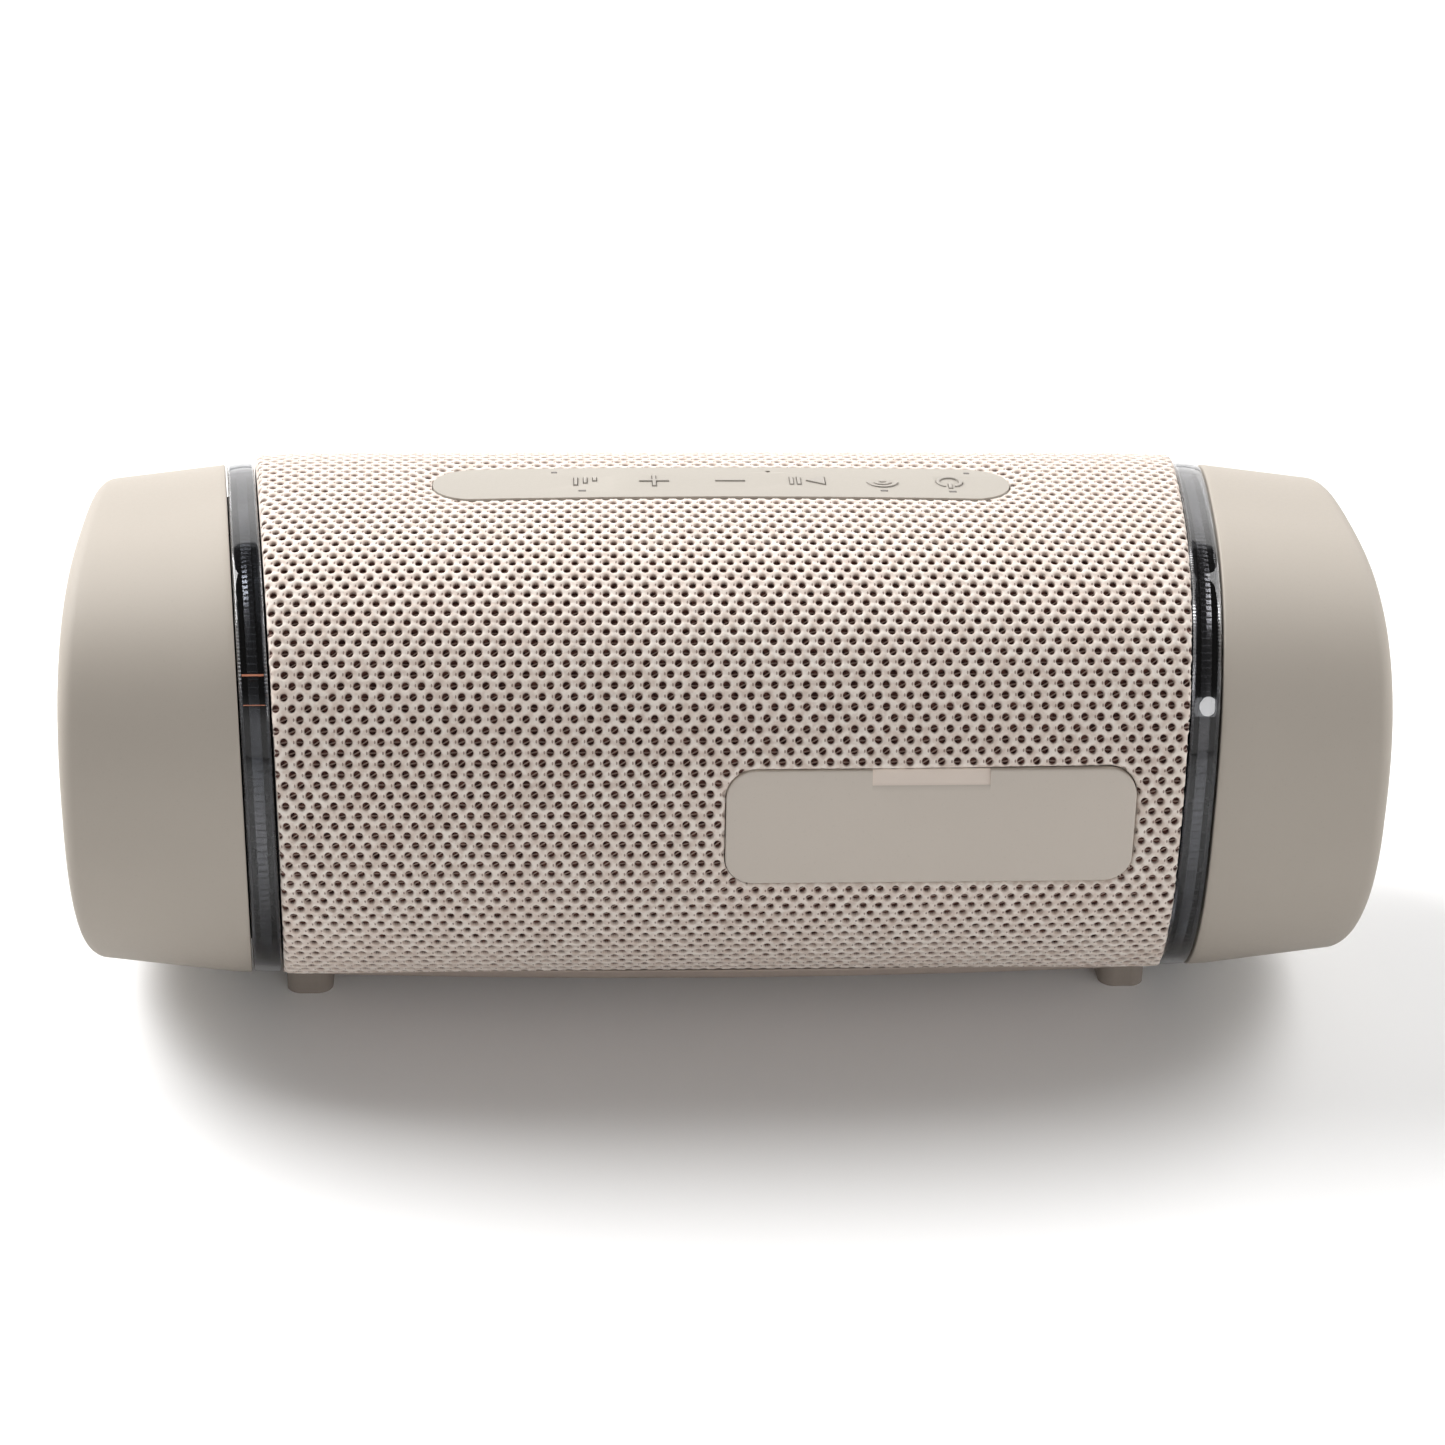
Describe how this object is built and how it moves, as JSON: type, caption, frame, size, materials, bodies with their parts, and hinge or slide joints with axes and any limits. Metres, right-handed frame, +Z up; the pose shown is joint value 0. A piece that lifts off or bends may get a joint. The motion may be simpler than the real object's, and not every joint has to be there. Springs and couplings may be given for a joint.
{
  "type": "portable bluetooth speaker",
  "caption": "Barrel-shaped portable wireless speaker wrapped in knitted mesh, with smoked light rings, an end cap over a passive radiator on each side, top keys and a rear socket cover.",
  "frame": {"origin": "on the table under the middle of the body, at the feet's lowest face", "axes": "+X along the body, +Y out of the front where the drivers point, -Y out of the rear with the socket cover, +Z up"},
  "size_m": [0.242, 0.108, 0.0992],
  "materials": {
    "knit_fabric": "knitted spacer mesh, matte",
    "dark_plastic": "fine texture",
    "base_plastic": "fine texture",
    "foot_rubber": "matte",
    "cap_plastic": "soft-touch coating",
    "smoked_lens": "smoked, glossy, translucent",
    "white_plastic": "satin",
    "black_rubber": "matte",
    "plate_plastic": "fine texture",
    "steel": "zinc plated",
    "screw_steel": "black oxide",
    "panel_rubber": "matte silicone",
    "key_plastic": "satin",
    "light_pipe": "frosted",
    "board": "solder mask",
    "switch_metal": "tin plated",
    "brass_can": "satin",
    "cover_rubber": "matte, smooth",
    "socket_metal": "nickel plated",
    "cabinet_plastic": "fine texture",
    "driver_metal": "black paint",
    "cone_paper": "coated paper",
    "cell_wrap": "shrink wrap",
    "wire_sheath": "vinyl"
  },
  "bodies": {
    "body": {"fabric_sleeve": "knit_fabric", "grille_frame": "dark_plastic", "base_plate": "base_plastic", "foot_left": "foot_rubber", "foot_right": "foot_rubber", "end_cap_left": "cap_plastic", "end_cap_right": "cap_plastic", "light_ring_left": "smoked_lens", "light_ring_right": "smoked_lens", "reflector_left": "white_plastic", "reflector_right": "white_plastic", "led_strip_left": "white_plastic", "led_strip_right": "white_plastic", "radiator_frame_left": "dark_plastic", "radiator_frame_right": "dark_plastic", "radiator_surround_left": "black_rubber", "radiator_surround_right": "black_rubber", "radiator_screws": "screw_steel", "control_panel": "panel_rubber", "light_pipes": "light_pipe", "control_board": "board", "tact_switches": "switch_metal", "microphone": "brass_can", "port_bay": "dark_plastic", "port_seal": "black_rubber", "usb_c_socket": "socket_metal", "usb_a_socket": "socket_metal", "cabinet_front": "cabinet_plastic", "cabinet_rear": "cabinet_plastic", "cabinet_gasket": "black_rubber", "driver_frame_left": "driver_metal", "driver_frame_right": "driver_metal", "driver_magnet_left": "steel", "driver_magnet_right": "steel", "driver_surround_left": "black_rubber", "driver_surround_right": "black_rubber", "driver_screws": "screw_steel", "battery_cells": "cell_wrap", "battery_holder": "dark_plastic", "main_board": "board", "antenna_board": "board", "wiring_harness": "wire_sheath", "cabinet_screws": "screw_steel", "board_screws": "screw_steel"},
    "cover": {"port_cover": "cover_rubber"},
    "power_key": {"key_power": "key_plastic"},
    "pairing_key": {"key_pairing": "key_plastic"},
    "play_key": {"key_play": "key_plastic"},
    "volume_down_key": {"key_volume_down": "key_plastic"},
    "volume_up_key": {"key_volume_up": "key_plastic"},
    "sound_mode_key": {"key_sound_mode": "key_plastic"},
    "link_key": {"bay_key_link": "key_plastic"},
    "battery_key": {"bay_key_battery": "key_plastic"},
    "radiator_left": {"radiator_plate_left": "plate_plastic", "radiator_weight_left": "steel"},
    "radiator_right": {"radiator_plate_right": "plate_plastic", "radiator_weight_right": "steel"},
    "cone_left": {"driver_cone_left": "cone_paper"},
    "cone_right": {"driver_cone_right": "cone_paper"}
  },
  "joints": [
    {"name": "cover_hinge", "type": "hinge", "parent": "body", "child": "cover", "pos_m": [0.0357, -0.05285, 0.04615], "axis": [0.9998, 0.0175, 0], "range_deg": [0, 90]},
    {"name": "power_press", "type": "slide", "parent": "body", "child": "power_key", "axis": [0, 0, -1], "range_m": [0, 0.00035], "stiffness_N_per_m": 1500, "springref_m": -0.0004},
    {"name": "pairing_press", "type": "slide", "parent": "body", "child": "pairing_key", "axis": [0, 0, -1], "range_m": [0, 0.00035], "stiffness_N_per_m": 1500, "springref_m": -0.0004},
    {"name": "play_press", "type": "slide", "parent": "body", "child": "play_key", "axis": [0, 0, -1], "range_m": [0, 0.00035], "stiffness_N_per_m": 1500, "springref_m": -0.0004},
    {"name": "volume_down_press", "type": "slide", "parent": "body", "child": "volume_down_key", "axis": [0, 0, -1], "range_m": [0, 0.00035], "stiffness_N_per_m": 1500, "springref_m": -0.0004},
    {"name": "volume_up_press", "type": "slide", "parent": "body", "child": "volume_up_key", "axis": [0, 0, -1], "range_m": [0, 0.00035], "stiffness_N_per_m": 1500, "springref_m": -0.0004},
    {"name": "sound_mode_press", "type": "slide", "parent": "body", "child": "sound_mode_key", "axis": [0, 0, -1], "range_m": [0, 0.00035], "stiffness_N_per_m": 1500, "springref_m": -0.0004},
    {"name": "link_press", "type": "slide", "parent": "body", "child": "link_key", "axis": [0, 1, 0], "range_m": [0, 0.00035], "stiffness_N_per_m": 1500, "springref_m": -0.0004},
    {"name": "battery_press", "type": "slide", "parent": "body", "child": "battery_key", "axis": [0, 1, 0], "range_m": [0, 0.00035], "stiffness_N_per_m": 1500, "springref_m": -0.0004},
    {"name": "radiator_left_stroke", "type": "slide", "parent": "body", "child": "radiator_left", "axis": [-1, 0, 0], "range_m": [-0.003, 0.003], "stiffness_N_per_m": 5000, "deforming": ["radiator_surround_left"]},
    {"name": "radiator_right_stroke", "type": "slide", "parent": "body", "child": "radiator_right", "axis": [1, 0, 0], "range_m": [-0.003, 0.003], "stiffness_N_per_m": 5000, "deforming": ["radiator_surround_right"]},
    {"name": "cone_left_stroke", "type": "slide", "parent": "body", "child": "cone_left", "axis": [0, 1, 0], "range_m": [-0.0025, 0.0025], "stiffness_N_per_m": 2500, "deforming": ["driver_surround_left"]},
    {"name": "cone_right_stroke", "type": "slide", "parent": "body", "child": "cone_right", "axis": [0, 1, 0], "range_m": [-0.0025, 0.0025], "stiffness_N_per_m": 2500, "deforming": ["driver_surround_right"]}
  ]
}
